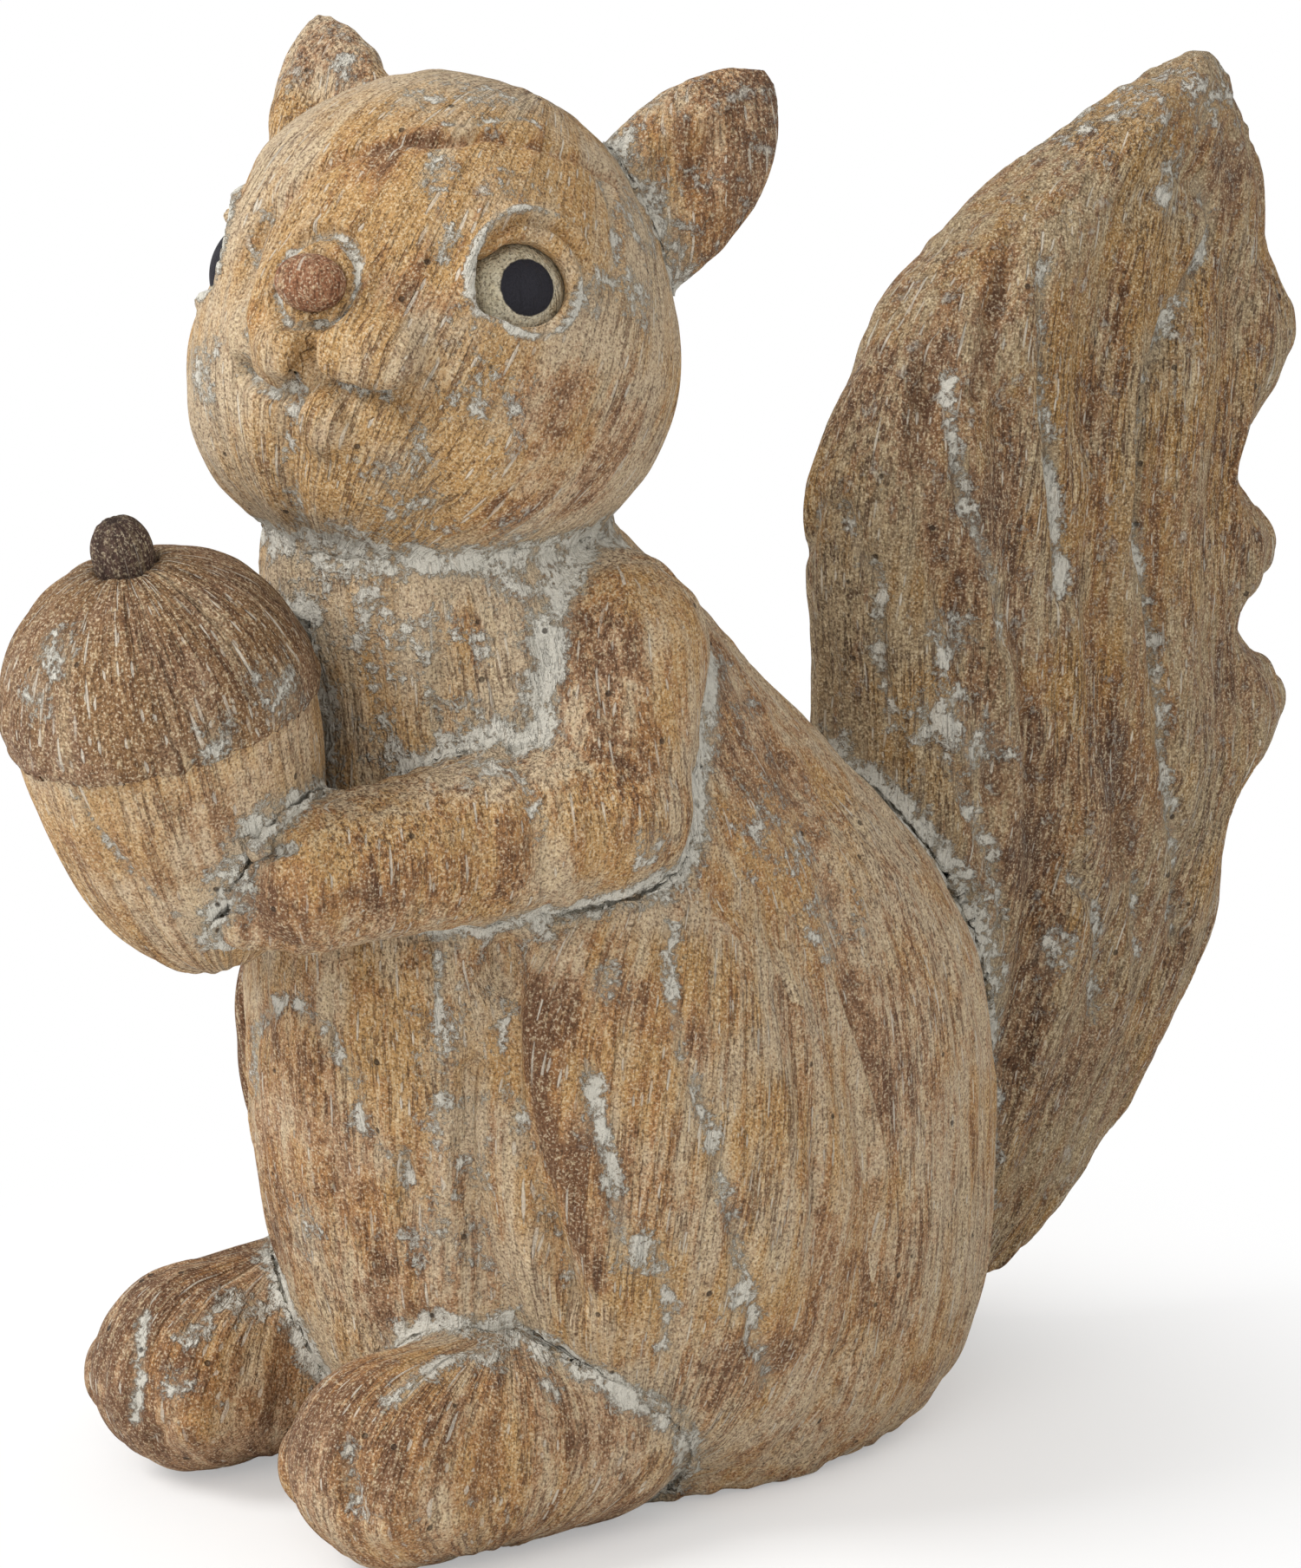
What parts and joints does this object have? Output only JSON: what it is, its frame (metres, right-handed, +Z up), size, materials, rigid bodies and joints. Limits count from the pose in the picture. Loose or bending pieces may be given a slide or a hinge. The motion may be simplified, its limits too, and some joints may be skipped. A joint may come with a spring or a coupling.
{
  "type": "squirrel figurine",
  "caption": "Seated squirrel ornament with a turned head, a tall fluted tail and an acorn held between its paws, cast in stone mix with a carved wood look.",
  "frame": {"origin": "on the table, in the squirrel's plane of symmetry, below its shoulders", "axes": "+Z up; the squirrel faces -Y, its tail is on the +Y side, and its own left side is +X"},
  "size_m": [0.1, 0.226, 0.1993],
  "materials": {
    "fur": "cast stone mix, ochre and brown wash, limewash rubbed into carved nicks, matt",
    "tail_fur": "cast stone mix, darker brown wash, pale limewashed flutes, matt",
    "eye": "cast stone mix with a painted black pupil, satin",
    "nose": "cast stone mix, reddish brown paint, matt",
    "nut": "cast stone mix, pale ochre wash, matt",
    "cup": "cast stone mix, dark brown wash with pale nicks, matt",
    "stem": "cast stone mix, dark brown paint, matt"
  },
  "bodies": {
    "root": {"body": "fur", "head": "fur", "ear_left": "fur", "ear_right": "fur", "arm_left": "fur", "arm_right": "fur", "haunch_left": "fur", "haunch_right": "fur", "foot_left": "fur", "foot_right": "fur", "tail": "tail_fur", "eye_left": "eye", "eye_right": "eye", "nose": "nose", "acorn_nut": "nut", "acorn_cup": "cup", "acorn_stem": "stem"}
  },
  "joints": []
}
